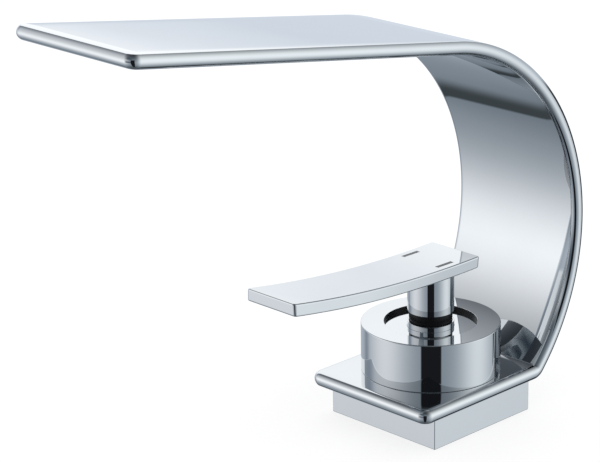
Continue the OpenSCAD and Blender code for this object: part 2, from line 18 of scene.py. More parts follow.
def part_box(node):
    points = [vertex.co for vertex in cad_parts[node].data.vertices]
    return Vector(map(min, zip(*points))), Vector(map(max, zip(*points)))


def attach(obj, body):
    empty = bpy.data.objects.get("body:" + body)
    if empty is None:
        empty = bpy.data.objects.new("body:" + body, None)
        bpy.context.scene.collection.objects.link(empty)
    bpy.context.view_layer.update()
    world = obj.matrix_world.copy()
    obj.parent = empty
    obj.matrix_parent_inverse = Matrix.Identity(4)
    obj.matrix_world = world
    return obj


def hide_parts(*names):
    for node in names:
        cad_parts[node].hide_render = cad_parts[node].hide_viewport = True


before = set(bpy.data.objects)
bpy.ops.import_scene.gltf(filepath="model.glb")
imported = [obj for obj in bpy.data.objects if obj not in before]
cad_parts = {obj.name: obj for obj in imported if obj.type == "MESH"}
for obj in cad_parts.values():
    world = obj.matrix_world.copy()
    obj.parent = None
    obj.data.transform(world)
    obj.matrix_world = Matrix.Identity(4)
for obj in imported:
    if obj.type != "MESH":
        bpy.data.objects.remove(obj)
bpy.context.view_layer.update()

MM = 0.001
"""One millimetre, in the scene's metres."""
WELD = 1e-4
"""Distance in millimetres under which two points are one."""
LOG = logging.getLogger("faucet")
Pair = tuple[float, float]
Triple = tuple[float, float, float]


# ---- surfaces


@dataclass(frozen=True)
class Patch:
    """A grid of surface points, in millimetres, and the outward direction at each."""

    points: np.ndarray
    normals: np.ndarray

    def moved(self, path: Callable[[np.ndarray], np.ndarray]) -> "Patch":
        """Carries the patch through a change of space.

        Points go through the path. Normals go through the inverse transpose of its Jacobian,
        which is taken by central differences along each axis.

        Args:
            path: Function from points of shape (..., 3) to points of the same shape.

        Returns:
            The patch in the new space.
        """
        step = 1e-4
        columns = [
            (path(self.points + step * axis) - path(self.points - step * axis)) / (2 * step)
            for axis in np.eye(3)
        ]
        jacobian = np.stack(columns, axis=-1)
        inverse = np.linalg.inv(jacobian).swapaxes(-1, -2)
        facing = np.einsum("...ij,...j->...i", inverse, self.normals)
        facing /= np.linalg.norm(facing, axis=-1, keepdims=True)
        return Patch(path(self.points), facing)


Piece = tuple[Patch, np.ndarray | None]
"""A patch and the mask of the cells that it keeps, or None for all."""


def grid_faces(patch: Patch, first: int, keep: np.ndarray | None = None) -> np.ndarray:
    """Numbers the quads of a patch, turned so that they face along its normals.

    Args:
        patch: The patch.
        first: Number of its first vertex.
        keep: Mask of the cells to keep, or None for all.

    Returns:
        Array of shape (cells, 4) of vertex numbers.
    """
    rows, columns = patch.points.shape[:2]
    index = first + np.arange(rows * columns).reshape(rows, columns)
    quads = np.stack([index[:-1, :-1], index[:-1, 1:], index[1:, 1:], index[1:, :-1]], axis=-1)
    p = patch.points
    across = np.cross(p[1:, 1:] - p[:-1, :-1], p[1:, :-1] - p[:-1, 1:])
    facing = np.sum(across * (patch.normals[:-1, :-1] + patch.normals[1:, 1:]))
    quads = quads.reshape(-1, 4)
    if facing < 0:
        quads = quads[:, ::-1]
    return quads if keep is None else quads[keep.ravel()]


def mesh_of(name: str, patches: Sequence[Piece]) -> bpy.types.Mesh:
    """Makes one closed mesh of patches whose borders meet.

    Points closer than the weld distance become one vertex, a quad with two equal corners becomes
    a triangle, and each corner keeps the normal of its own patch.

    Args:
        name: Name of the mesh.
        patches: The patches.

    Returns:
        The mesh, in metres.
    """
    points = np.concatenate([p.points.reshape(-1, 3) for p, _ in patches])
    normals = np.concatenate([p.normals.reshape(-1, 3) for p, _ in patches])
    starts = np.cumsum([0] + [p.points[..., 0].size for p, _ in patches])
    quads = np.concatenate([grid_faces(p, starts[i], keep) for i, (p, keep) in enumerate(patches)])
    _, firsts, welded = np.unique(
        np.round(points / WELD).astype(np.int64), axis=0, return_index=True, return_inverse=True
    )
    welded = welded.reshape(-1)
    corners = welded[quads]
    double = corners == np.roll(corners, -1, axis=1)
    whole = quads[~double.any(axis=1)]
    pinched = double.sum(axis=1) == 1
    triangles = quads[pinched][~double[pinched]].reshape(-1, 3)
    loops = np.concatenate([whole.ravel(), triangles.ravel()])
    sizes = np.concatenate([np.full(len(whole), 4), np.full(len(triangles), 3)])
    mesh = bpy.data.meshes.new(name)
    mesh.vertices.add(len(firsts))
    mesh.vertices.foreach_set("co", (points[firsts] * MM).astype(np.float32).ravel())
    mesh.loops.add(len(loops))
    mesh.loops.foreach_set("vertex_index", welded[loops].astype(np.int32))
    mesh.polygons.add(len(sizes))
    mesh.polygons.foreach_set("loop_start", (np.cumsum(sizes) - sizes).astype(np.int32))
    mesh.update(calc_edges=True)
    mesh.polygons.foreach_set("use_smooth", np.ones(len(sizes), dtype=bool))
    mesh.normals_split_custom_set(normals[loops].tolist())
    return mesh


@dataclass(frozen=True)
class Run:
    """Part of an edge's section: offsets outwards, heights, and the normals of both."""

    offset: np.ndarray
    height: np.ndarray
    out: np.ndarray
    up: np.ndarray


def arc_run(centre: Pair, radius: float, start: float, end: float, steps: int) -> Run:
    """Makes a section that is an arc: centre plus radius times cosine and sine of the angle.

    Args:
        centre: Offset and height of its centre.
        radius: Radius.
        start: First angle in degrees, 0 being outwards and 90 upwards.
        end: Last angle in degrees.
        steps: Number of segments.

    Returns:
        The run.
    """
    angle = np.radians(np.linspace(start, end, steps + 1))
    c, s = np.cos(angle), np.sin(angle)
    return Run(centre[0] + radius * c, centre[1] + radius * s, c, s)


def line_run(a: Pair, b: Pair) -> Run:
    """Makes a straight section from a to b, with the material on the left of its direction.

    Args:
        a: Offset and height of the start.
        b: Offset and height of the end.

    Returns:
        The run.
    """
    dx, dz = b[0] - a[0], b[1] - a[1]
    length = math.hypot(dx, dz)
    return Run(*np.array([a, b]).T, np.full(2, dz / length), np.full(2, -dx / length))


def crowned(half: float, soft: float, turn: float, steps: int) -> list[Run]:
    """Makes an edge that is a quarter round above and a crown below, which a small fillet ends.

    The crown is an arc that turns by the given angle below outwards. Its radius is the half
    height less the fillet's own fall, over the sine of that angle. The edge stands out by its
    half height, so the lower face runs on until the fillet begins.

    Args:
        half: Half of the edge's height, which is the quarter round's radius.
        soft: Radius of the fillet.
        turn: Angle in degrees at which the crown meets it.
        steps: Number of segments of the crown and of the quarter round.

    Returns:
        The runs from the lower face to the upper one.
    """
    s, c = math.sin(math.radians(turn)), math.cos(math.radians(turn))
    radius = (half - soft * (1 - s)) / s
    foot = half - radius + (radius - soft) * c
    return [
        line_run((0, -half), (foot, -half)),
        arc_run((foot, soft - half), soft, -90, -turn, steps // 3),
        arc_run((half - radius, 0), radius, -turn, 0, steps),
        arc_run((0, 0), half, 0, 90, steps),
    ]


def filleted(corners: Sequence[Triple], steps: int = 5) -> list[Run]:
    """Rounds the corners of a closed section that is walked with its material on the left.

    Each corner is cut back along both edges by radius times the tangent of half the turn, and the
    arc between them is centred that far inside.

    Args:
        corners: Offset, height and radius of each corner; a radius of 0 stays sharp.
        steps: Number of segments of each arc.

    Returns:
        The runs, edges and arcs in order.
    """
    runs, ends = [], []
    count = len(corners)
    for i, (x, z, radius) in enumerate(corners):
        before = np.array(corners[i - 1][:2]) - (x, z)
        after = np.array(corners[(i + 1) % count][:2]) - (x, z)
        before, after = before / np.linalg.norm(before), after / np.linalg.norm(after)
        turn = math.atan2(
            -before[0] * after[1] + before[1] * after[0], -float(np.dot(before, after))
        )
        back = radius * math.tan(abs(turn) / 2)
        a, b = np.array([x, z]) + before * back, np.array([x, z]) + after * back
        ends.append((tuple(a), tuple(b)))
        if radius > 0:
            side = 1.0 if turn > 0 else -1.0
            out = np.array([-before[1], before[0]])
            centre = a - out * radius * side
            start = math.degrees(math.atan2(out[1] * side, out[0] * side))
            arc = arc_run(tuple(centre), radius, start, start + math.degrees(turn), steps)
            runs.append((i, Run(arc.offset, arc.height, arc.out * side, arc.up * side)))
    edges = [
        (i + 0.5, line_run(ends[i][1], ends[(i + 1) % count][0]))
        for i in range(count)
        if math.dist(ends[i][1], ends[(i + 1) % count][0]) > WELD
    ]
    return [run for _, run in sorted(runs + edges, key=lambda pair: pair[0])]


def turned(runs: Sequence[Run], steps: int) -> list[Piece]:
    """Turns a section about the Z axis: x and y are the offset times cosine and sine of the angle.

    Args:
        runs: The section, with offsets as radii.
        steps: Number of segments round the axis.

    Returns:
        One closed band for each run.
    """
    angle = np.linspace(0, 2 * math.pi, steps + 1)
    angle[-1] = 0.0
    c, s = np.cos(angle)[None, :], np.sin(angle)[None, :]
    bands = []
    for run in runs:
        r, z, o, u = (v[:, None] for v in (run.offset, run.height, run.out, run.up))
        points = np.stack([r * c, r * s, z + 0 * c], axis=-1)
        normals = np.stack([o * c, o * s, u + 0 * c], axis=-1)
        bands.append((Patch(points, normals), None))
    return bands


def places(*spans: tuple[float, float, int]) -> np.ndarray:
    """Lists places along a strip, even within each span, and one where two spans meet.

    Args:
        spans: Start, end and number of places of each span.

    Returns:
        The places in order.
    """
    return np.unique(np.round(np.concatenate([np.linspace(*span) for span in spans]), 6))


@dataclass
class Well:
    """A rectangular well in the upper face of a strip: its borders and how it steps down."""

    x: Pair
    s: Pair
    steps: Sequence[Triple]
    """Width share, length share and height of each ring after the rim."""

    def rings(self, rim: np.ndarray) -> list[Piece]:
        """Makes the rings: the rim drawn in towards the middle, and let down to each height.

        Args:
            rim: The face's own points over the well.

        Returns:
            The patches of each ring, and the floor.
        """
        middle = np.array([sum(self.x) / 2, sum(self.s) / 2])
        reach = rim[..., :2] - middle
        loop = np.concatenate([reach[0, :-1], reach[:-1, -1], reach[-1, :0:-1], reach[:0:-1, 0]])
        loop = np.concatenate([loop, loop[:1]])
        made, before = [], (1.0, 1.0, rim[0, 0, 2])
        for step in self.steps:
            points = np.stack(
                [
                    np.concatenate([middle + loop * (w, l), np.full((len(loop), 1), z)], axis=1)
                    for w, l, z in (before, step)
                ]
            )
            if abs(step[2] - before[2]) > WELD:
                made += self.walls(points, loop)
            else:
                made.append((Patch(points, np.broadcast_to([0, 0, 1], points.shape)), None))
            before = step
        floor = np.concatenate(
            [middle + reach * before[:2], np.full((*reach.shape[:2], 1), before[2])], axis=-1
        )
        return [*made, (Patch(floor, np.broadcast_to([0, 0, 1], floor.shape)), None)]

    @staticmethod
    def walls(points: np.ndarray, loop: np.ndarray) -> list[Piece]:
        """Makes the walls of one step, each facing the well's middle.

        Args:
            points: Upper and lower points round the well.
            loop: The way from the well's middle to its rim at each of them.

        Returns:
            One patch for each unbroken stretch of a wall.
        """
        made = []
        side = np.abs(loop) > np.abs(loop).max(axis=0) - WELD
        for axis in (0, 1):
            for sign in (-1, 1):
                normal = np.zeros(3)
                normal[axis] = -sign
                on = side[:, axis] & (np.sign(loop[:, axis]) == sign)
                picked = np.nonzero(on[:-1] & on[1:])[0]
                for group in np.split(picked, np.nonzero(np.diff(picked) > 1)[0] + 1):
                    part = points[:, group[0] : group[-1] + 2]
                    made.append((Patch(part, np.broadcast_to(normal, part.shape)), None))
        return made


@dataclass
class Strip:
    """A flat strip with rounded corners and one section carried round its outline.

    Across is x and along is s. The outline is where the section starts, so the section's
    offsets stand outside it.
    """

    half: float
    start: float
    end: float
    corner: float
    low: float
    high: float
    edge: Sequence[Run]
    columns: np.ndarray
    rows: np.ndarray
    corner_steps: int = 10
    wells: Sequence[Well] = ()

    def sides(self) -> tuple[np.ndarray, np.ndarray, np.ndarray, np.ndarray]:
        """Walks one side from end to end, round both corners.

        In a corner the side is the corner's centre plus its radius times cosine and sine.

        Returns:
            Half widths, places along the strip, and both parts of the outward direction.
        """
        a = np.radians(np.linspace(-90, 0, self.corner_steps + 1))
        c, s, r = np.cos(a), np.sin(a), self.corner
        inner = np.sort(self.rows[(self.rows > self.start + r) & (self.rows < self.end - r)])
        straight, bend = np.full(len(inner), self.half), self.half - r + r * c
        x = np.concatenate([bend, straight, bend[::-1]])
        along = np.concatenate([self.start + r + r * s, inner, self.end - r - r * s[::-1]])
        nx = np.concatenate([c, np.ones(len(inner)), c[::-1]])
        ns = np.concatenate([s, np.zeros(len(inner)), -s[::-1]])
        return x, along, nx, ns

    def outline(self) -> tuple[np.ndarray, np.ndarray]:
        """Walks round the whole outline.

        Returns:
            Points and outward directions, both of shape (points, 2), closed.
        """
        x, s, nx, ns = self.sides()
        end = self.columns[::-1]
        up, down = np.stack([x, s], -1), np.stack([-x, s], -1)[::-1]
        far = np.stack([end, np.full(len(end), self.end)], -1)
        near = np.stack([self.columns, np.full(len(end), self.start)], -1)
        points = np.concatenate([up, far, down, near, up[:1]])
        ahead = np.broadcast_to([0.0, 1.0], far.shape)
        right, left = np.stack([nx, ns], -1), np.stack([-nx, ns], -1)[::-1]
        normals = np.concatenate([right, ahead, left, -ahead, right[:1]])
        return points, normals

    def face(self, height: float, up: float, wells: Sequence[Well]) -> list[Piece]:
        """Makes one flat face with its wells.

        Args:
            height: Height of the face.
            up: 1 where it faces up, -1 where it faces down.
            wells: The wells in it.

        Returns:
            The face, each well's rings and each well's floor.
        """
        x, s, _, _ = self.sides()
        inner = np.broadcast_to(self.columns, (len(x), len(self.columns)))
        across = np.concatenate([-x[:, None], inner, x[:, None]], axis=1)
        along = np.broadcast_to(s[:, None], across.shape)
        points = np.stack([across, along, np.full(across.shape, height)], -1)
        normals = np.broadcast_to([0, 0, up], points.shape)
        mid_x, mid_s, _ = np.moveaxis(points[:-1, :-1] + points[1:, 1:], -1, 0) / 2
        keep = np.ones(mid_x.shape, dtype=bool)
        made = []
        for well in wells:
            (x0, x1), (s0, s1) = well.x, well.s
            inside = (mid_x > x0) & (mid_x < x1) & (mid_s > s0) & (mid_s < s1)
            keep &= ~inside
            rows, columns = np.nonzero(inside)
            rim = points[rows.min() : rows.max() + 2, columns.min() : columns.max() + 2]
            made += well.rings(rim)
        return [(Patch(points, normals), keep), *made]

    def patches(self) -> list[Piece]:
        """Makes the whole strip: both faces and the section carried round the outline.

        Returns:
            The patches, in the strip's own space of x, s and height.
        """
        points, normals = self.outline()
        x, s, nx, ns = (v[None, :] for v in (*points.T, *normals.T))
        made = self.face(self.high, 1, self.wells) + self.face(self.low, -1, ())
        for run in self.edge:
            o, h, n, u = (v[:, None] for v in (run.offset, run.height, run.out, run.up))
            around = np.stack([x + o * nx, s + o * ns, h + 0 * x], axis=-1)
            facing = np.stack([n * nx, n * ns, u + 0 * x], axis=-1)
            made.append((Patch(around, facing), None))
        return made


# ---- finishes


class Slot(Enum):
    """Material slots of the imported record."""

    CHROME = "chrome"
    BLACK_TRIM = "black_trim"
    GREY_MARK = "grey_mark"
    GUIDE_PLASTIC = "guide_plastic"
    RUBBER = "rubber"
    STEEL = "steel"
    BRASS = "brass"
    CARTRIDGE_PLASTIC = "cartridge_plastic"
    CERAMIC = "ceramic"


Wire = tuple[bpy.types.Node, str, bpy.types.Node, str | int]
"""A node, its output, the next node and its input."""


def wire(tree: bpy.types.NodeTree, *wires: Wire) -> None:
    """Links nodes of a tree.

    Args:
        tree: The node tree.
        wires: The links.
    """
    for source, output, target, socket in wires:
        tree.links.new(source.outputs[output], target.inputs[socket])


def bare_material(name: str) -> bpy.types.Material:
    """Makes a material whose node tree is still empty.

    Args:
        name: Its name.

    Returns:
        The material.
    """
    made = bpy.data.materials.new(name)
    made.use_nodes = True
    made.node_tree.nodes.clear()
    return made


class SurfaceMarks:
    """Shader node group of a surface's small unevenness: tone, gloss and height."""

    NAME = "surface_marks"
    CLOUD_DETAIL = 3.0
    GRAIN_DETAIL = 2.0
    GLOSS_SPAN = (0.3, 0.7)
    INPUTS = {
        "Vector": ("Vector",),
        "Float": ("Cloud Scale", "Grain Scale", "Grain Share", "Smooth", "Rough"),
        "Color": ("Dark", "Light"),
    }
    OUTPUTS = {"Color": ("Color",), "Float": ("Roughness", "Height")}

    @classmethod
    def group(cls) -> bpy.types.NodeTree:
        """Builds the group once: a soft cloud sets tone and gloss, and a fine grain the height.

        Returns:
            The node group.
        """
        tree = bpy.data.node_groups.get(cls.NAME)
        if tree is not None:
            return tree
        tree = bpy.data.node_groups.new(cls.NAME, "ShaderNodeTree")
        new_socket = tree.interface.new_socket
        for way, sockets in (("INPUT", cls.INPUTS), ("OUTPUT", cls.OUTPUTS)):
            for kind, names in sockets.items():
                for name in names:
                    new_socket(name, in_out=way, socket_type=f"NodeSocket{kind}")
        nodes = tree.nodes
        inside, outside = nodes.new("NodeGroupInput"), nodes.new("NodeGroupOutput")
        cloud, grain = nodes.new("ShaderNodeTexNoise"), nodes.new("ShaderNodeTexNoise")
        cloud.inputs["Detail"].default_value = cls.CLOUD_DETAIL
        grain.inputs["Detail"].default_value = cls.GRAIN_DETAIL
        both, tone = nodes.new("ShaderNodeMix"), nodes.new("ShaderNodeMix")
        both.data_type, tone.data_type = "FLOAT", "RGBA"
        gloss = nodes.new("ShaderNodeMapRange")
        gloss.inputs["From Min"].default_value = cls.GLOSS_SPAN[0]
        gloss.inputs["From Max"].default_value = cls.GLOSS_SPAN[1]
        wire(
            tree,
            (inside, "Vector", cloud, "Vector"),
            (inside, "Vector", grain, "Vector"),
            (inside, "Cloud Scale", cloud, "Scale"),
            (inside, "Grain Scale", grain, "Scale"),
            (inside, "Grain Share", both, "Factor"),
            (cloud, "Fac", both, "A"),
            (grain, "Fac", both, "B"),
            (both, "Result", gloss, "Value"),
            (inside, "Smooth", gloss, "To Min"),
            (inside, "Rough", gloss, "To Max"),
            (both, "Result", tone, "Factor"),
            (inside, "Dark", tone, "A"),
            (inside, "Light", tone, "B"),
            (tone, "Result", outside, "Color"),
            (gloss, "Result", outside, "Roughness"),
            (grain, "Fac", outside, "Height"),
        )
        return tree


@dataclass(frozen=True)
class Finish:
    """One finish: two tones, gloss from smooth to rough, grain, and the shader's own constants."""

    slot: Slot
    dark: Triple
    light: Triple
    smooth: float
    rough: float
    metallic: float = 0.0
    cloud: float = 60.0
    grain: float = 900.0
    grain_share: float = 0.3
    relief: float = 0.1
    relief_mm: float = 0.02
    specular: float = 0.5
    stretch: Triple = (1.0, 1.0, 1.0)

    def material(self) -> bpy.types.Material:
        """Builds the material once.

        Returns:
            The material, named after its slot.
        """
        name = f"{self.slot.value}_finish"
        made = bpy.data.materials.get(name)
        if made is not None:
            return made
        made = bare_material(name)
        nodes = made.node_tree.nodes
        where, place = nodes.new("ShaderNodeTexCoord"), nodes.new("ShaderNodeMapping")
        place.inputs["Scale"].default_value = self.stretch
        marks = nodes.new("ShaderNodeGroup")
        marks.node_tree = SurfaceMarks.group()
        for socket, value in (
            ("Cloud Scale", self.cloud),
            ("Grain Scale", self.grain),
            ("Grain Share", self.grain_share),
            ("Smooth", self.smooth),
            ("Rough", self.rough),
            ("Dark", (*self.dark, 1.0)),
            ("Light", (*self.light, 1.0)),
        ):
            marks.inputs[socket].default_value = value
        bump = nodes.new("ShaderNodeBump")
        bump.inputs["Strength"].default_value = self.relief
        bump.inputs["Distance"].default_value = self.relief_mm * MM
        shader, out = nodes.new("ShaderNodeBsdfPrincipled"), nodes.new("ShaderNodeOutputMaterial")
        shader.inputs["Metallic"].default_value = self.metallic
        shader.inputs["Specular IOR Level"].default_value = self.specular
        wire(
            made.node_tree,
            (where, "Object", place, "Vector"),
            (place, "Vector", marks, "Vector"),
            (marks, "Color", shader, "Base Color"),
            (marks, "Roughness", shader, "Roughness"),
            (marks, "Height", bump, "Height"),
            (bump, "Normal", shader, "Normal"),
            (shader, "BSDF", out, "Surface"),
        )
        return made


FINISHES = {
    finish.slot: finish
    for finish in (
        Finish(
            Slot.CHROME, dark=(0.670, 0.690, 0.705), light=(0.710, 0.730, 0.745),
            smooth=0.01, rough=0.03, metallic=1.0, relief=0.01, relief_mm=0.001,
        ),
        Finish(
            Slot.BLACK_TRIM, dark=(0.004, 0.004, 0.005), light=(0.008, 0.008, 0.009),
            smooth=0.34, rough=0.42, relief=0.02, specular=0.2,
        ),
        Finish(
            Slot.GREY_MARK, dark=(0.12, 0.12, 0.125), light=(0.16, 0.16, 0.165),
            smooth=0.4, rough=0.5, grain=2500.0,
        ),
        Finish(
            Slot.GUIDE_PLASTIC, dark=(0.055, 0.057, 0.06), light=(0.085, 0.087, 0.09),
            smooth=0.4, rough=0.55, grain=2000.0,
        ),
        Finish(
            Slot.RUBBER, dark=(0.012, 0.012, 0.012), light=(0.03, 0.03, 0.03),
            smooth=0.6, rough=0.8, grain=2500.0, relief=0.3,
        ),
        Finish(
            Slot.STEEL, dark=(0.46, 0.46, 0.47), light=(0.62, 0.62, 0.63),
            smooth=0.2, rough=0.36, metallic=1.0, stretch=(1.0, 1.0, 8.0),
        ),
        Finish(
            Slot.BRASS, dark=(0.56, 0.38, 0.15), light=(0.74, 0.55, 0.27),
            smooth=0.22, rough=0.4, metallic=1.0, stretch=(1.0, 1.0, 6.0),
        ),
        Finish(
            Slot.CARTRIDGE_PLASTIC, dark=(0.66, 0.65, 0.60), light=(0.76, 0.75, 0.71),
            smooth=0.38, rough=0.5, grain=1500.0,
        ),
        Finish(
            Slot.CERAMIC, dark=(0.80, 0.79, 0.76), light=(0.88, 0.87, 0.85),
            smooth=0.08, rough=0.18, grain=3000.0, relief=0.03,
        ),
    )
}


class Body(Enum):
    """CAD bodies that new pieces ride on."""

    FAUCET = "faucet_body"
    CARTRIDGE = "turning_cartridge"
    LEVER = "lever"


@dataclass
class Assembly:
    """What all sub-assemblies share: placing new pieces and dressing CAD nodes."""

    def place(self, mesh: bpy.types.Mesh, slot: Slot, body: Body, *nodes: str) -> bpy.types.Object:
        """Puts a new piece into the scene, dresses it and ties it to its body.

        Args:
            mesh: Its mesh, which it is named after.
            slot: Its material slot.
            body: The CAD body that it rides on.
            nodes: The CAD nodes that it replaces.

        Returns:
            The piece.
        """
        piece = bpy.data.objects.new(mesh.name, mesh)
        bpy.context.scene.collection.objects.link(piece)
        piece.data.materials.append(FINISHES[slot].material())
        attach(piece, body.value)
        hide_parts(*nodes)
        faces = len(piece.data.polygons)
        LOG.info("%s: %d faces, %s, on %s", piece.name, faces, slot.value, body.value)
        return piece

    def dress(self, slot: Slot, *nodes: str) -> None:
        """Gives CAD nodes a finish.

        Args:
            slot: The material slot.
            nodes: Names of the nodes.
        """
        for name in nodes:
            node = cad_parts[name]
            node.data.materials.clear()
            node.data.materials.append(FINISHES[slot].material())
            LOG.info("%s: CAD node, %s", name, slot.value)


# ---- sub-assemblies


@dataclass
class SpoutRibbon(Assembly):
    """The folded ribbon: lower leaf, tight fold, arch and straight spout, and the flow guide."""

    width: float = 56.48
    thickness: float = 4.96
    """Both a hair under the solid's, so that the ribbon stays inside its faceted box."""

    corner: float = 4.0
    leaf_front: float = 33.1
    leaf_middle: float = 14.7
    arch_radius: float = 76.3
    arch_back: float = 48.3
    arch_lift: float = 52.9
    rise: float = 9.5
    reach: float = 158.4
    fold_radius: float = 3.5
    outlet_inset: float = 5.5
    outlet_length: float = 4.4
    slot_half: float = 20.0
    rim_width: float = 3.2
    rim_length: float = 1.1
    rim_depth: float = 0.6
    channel_half: float = 1.0
    edge_soft: float = 0.5
    edge_turn: float = 40.0
    ease_width: float = 5.5
    ease_fall: float = 0.07
    tip_fall: float = 0.32
    edge_steps: int = 14
    columns: int = 17
    end_run: float = 6.0
    end_rows: int = 13
    leaf_rows: int = 26
    fold_rows: int = 25
    arch_rows: int = 150
    spout_rows: int = 60

    def lengths(self) -> tuple[float, float, float, float]:
        """Works out where the leaf, the fold, the arch and the spout end.

        Returns:
            Lengths along the middle line from the leaf's front end.
        """
        rise, nose = math.radians(self.rise), self.thickness / 2
        inner_r = self.arch_radius - self.fold_radius
        inner_lift = self.arch_lift - self.fold_radius
        reach = math.sqrt(inner_r**2 - inner_lift**2)
        fold_y = self.arch_back - self.arch_radius + reach
        turn = math.pi / 2 - math.atan2(inner_lift, reach)
        sweep = math.pi - rise - turn
        spring_y = self.arch_back - self.arch_radius + self.arch_radius * math.sin(rise)
        straight = (spring_y + self.reach - nose) / math.cos(rise) + nose
        leaf = self.leaf_front + fold_y
        fold = leaf + self.fold_radius * turn
        arch = fold + self.arch_radius * sweep
        return leaf, fold, arch, arch + straight

    def eased(self, points: np.ndarray) -> np.ndarray:
        """Lets both faces fall a little towards the outline, as hand polishing leaves them.

        The height that is lost, as a share of the half thickness, is the sum of each fall times
        the square of how far a point stands in the eased width. The tip falls more than the rest.

        Args:
            points: Points as x, length along the line, and height.

        Returns:
            The eased points.
        """
        x, s, h = points[..., 0], points[..., 1], points[..., 2]
        wide, end = self.ease_width, self.lengths()[3]
        across = np.clip(np.abs(x) - self.width / 2 + wide, 0, None) / wide
        front = np.clip(wide - s, 0, None) / wide
        tip = np.clip(s - end + wide, 0, None) / wide
        fall = self.ease_fall * (across**2 + front**2) + self.tip_fall * tip**2
        return np.stack([x, s, h * (1 - 2 / self.thickness * fall)], axis=-1)

    def middle_line(self, points: np.ndarray) -> np.ndarray:
        """Bends the flat strip along the middle line.

        The line runs straight back, turns up by its length over the fold's radius, then by its
        length over the arch's radius, and runs straight to the tip. Height is set off at a right
        angle to it, to the inner side of the bends.

        Args:
            points: Points as x, length along the line, and height.

        Returns:
            The bent points.
        """
        leaf, fold, arch, _ = self.lengths()
        x, s, h = points[..., 0], points[..., 1], points[..., 2]
        in_fold = np.clip(s, leaf, fold) - leaf
        in_arch = np.clip(s, fold, arch) - fold
        first, second = in_fold / self.fold_radius, in_arch / self.arch_radius
        turn_1, turn = (fold - leaf) / self.fold_radius, first + second
        y = np.minimum(s, leaf) - self.leaf_front + self.fold_radius * np.sin(first)
        z = self.leaf_middle + self.fold_radius * (1 - np.cos(first))
        y = y + self.arch_radius * (np.sin(turn_1 + second) - math.sin(turn_1))
        z = z + self.arch_radius * (math.cos(turn_1) - np.cos(turn_1 + second))
        beyond = np.maximum(s - arch, 0)
        y = y + beyond * np.cos(turn) - h * np.sin(turn)
        z = z + beyond * np.sin(turn) + h * np.cos(turn)
        return np.stack([x, y, z], axis=-1)

    def outlet(self) -> Triple:
        """Works out the outlet.

        Returns:
            Where its rim starts and ends along the middle line, and the rim's half length.
        """
        half = self.outlet_length / 2 + self.rim_length
        middle = self.lengths()[3] - self.outlet_inset - self.outlet_length / 2
        return middle - half, middle + half, half

    def rows(self) -> np.ndarray:
        """Lists where the strip has rows: close together in the bends, further apart in the flats.

        Returns:
            Lengths along the middle line.
        """
        leaf, fold, arch, end = self.lengths()
        rim_start, rim_end, _ = self.outlet()
        return places(
            (0, self.end_run, self.end_rows),
            (self.end_run, leaf, self.leaf_rows),
            (leaf, fold, self.fold_rows),
            (fold, arch, self.arch_rows),
            (arch, rim_start, self.spout_rows),
            (rim_start, rim_end, 3),
            (end - self.end_run, end, self.end_rows),
        )

    def build(self) -> None:
        """Makes the ribbon and dresses the flow guide and its screws."""
        end, r = self.lengths()[3], self.thickness / 2
        rim_start, rim_end, rim_half = self.outlet()
        rim_x = self.slot_half + self.rim_width
        shares = (self.slot_half / rim_x, self.outlet_length / 2 / rim_half)
        step = r - self.rim_depth
        well = Well(
            (-rim_x, rim_x),
            (rim_start, rim_end),
            ((1.0, 1.0, step), (*shares, step), (*shares, -self.channel_half)),
        )
        strip = Strip(
            half=self.width / 2 - r,
            start=r,
            end=end - r,
            corner=self.corner - r,
            low=-r,
            high=r,
            edge=crowned(r, self.edge_soft, self.edge_turn, self.edge_steps),
            columns=np.linspace(-rim_x, rim_x, self.columns),
            rows=self.rows(),
            wells=(well,),
        )
        bent = [(p.moved(self.eased).moved(self.middle_line), keep) for p, keep in strip.patches()]
        self.place(mesh_of("ribbon_spout", bent), Slot.CHROME, Body.FAUCET, "spout_ribbon")
        self.dress(Slot.GUIDE_PLASTIC, "flow_guide")
        self.dress(Slot.STEEL, "guide_screws")


@dataclass
class BaseBlock(Assembly):
    """The square base block and what it holds."""

    edge: float = 0.35
    segments: int = 4
    flat_angle: float = 0.5
    sharp_angle: float = 30.0
    merge_m: float = 1e-7
    outer_m: float = 1e-6

    def build(self) -> None:
        """Makes the block with softened outer edges, and dresses its seals and screws."""
        self.block()
        self.dress(Slot.RUBBER, "deck_seal", "leaf_seal")
        self.dress(Slot.STEEL, "clamp_screws")

    def block(self) -> None:
        """Copies the block's mesh, merges it and rounds its twelve outer edges."""
        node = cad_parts["base_block"]
        low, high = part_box("base_block")
        mesh = bpy.data.meshes.new("square_block")
        work = bmesh.new()
        work.from_mesh(node.data)
        bmesh.ops.remove_doubles(work, verts=work.verts, dist=self.merge_m)
        bmesh.ops.dissolve_limit(
            work,
            angle_limit=math.radians(self.flat_angle),
            verts=work.verts,
            edges=work.edges,
            use_dissolve_boundaries=False,
        )
        layer = work.edges.layers.float.new("bevel_weight_edge")
        for edge in work.edges:
            a, b = (v.co for v in edge.verts)
            shared = sum(
                all(min(abs(c[k] - low[k]), abs(c[k] - high[k])) < self.outer_m for c in (a, b))
                and abs(a[k] - b[k]) < self.outer_m
                for k in range(3)
            )
            edge[layer] = 1.0 if shared >= 2 else 0.0
        work.to_mesh(mesh)
        work.free()
        piece = self.place(mesh, Slot.CHROME, Body.FAUCET, "base_block")
        mesh.polygons.foreach_set("use_smooth", np.ones(len(mesh.polygons), dtype=bool))
        mesh.set_sharp_from_angle(angle=math.radians(self.sharp_angle))
        bevel = piece.modifiers.new("soft_edges", "BEVEL")
        bevel.limit_method = "WEIGHT"
        bevel.width = self.edge * MM
        bevel.segments = self.segments
        bevel.harden_normals = True
        bevel.use_clamp_overlap = False


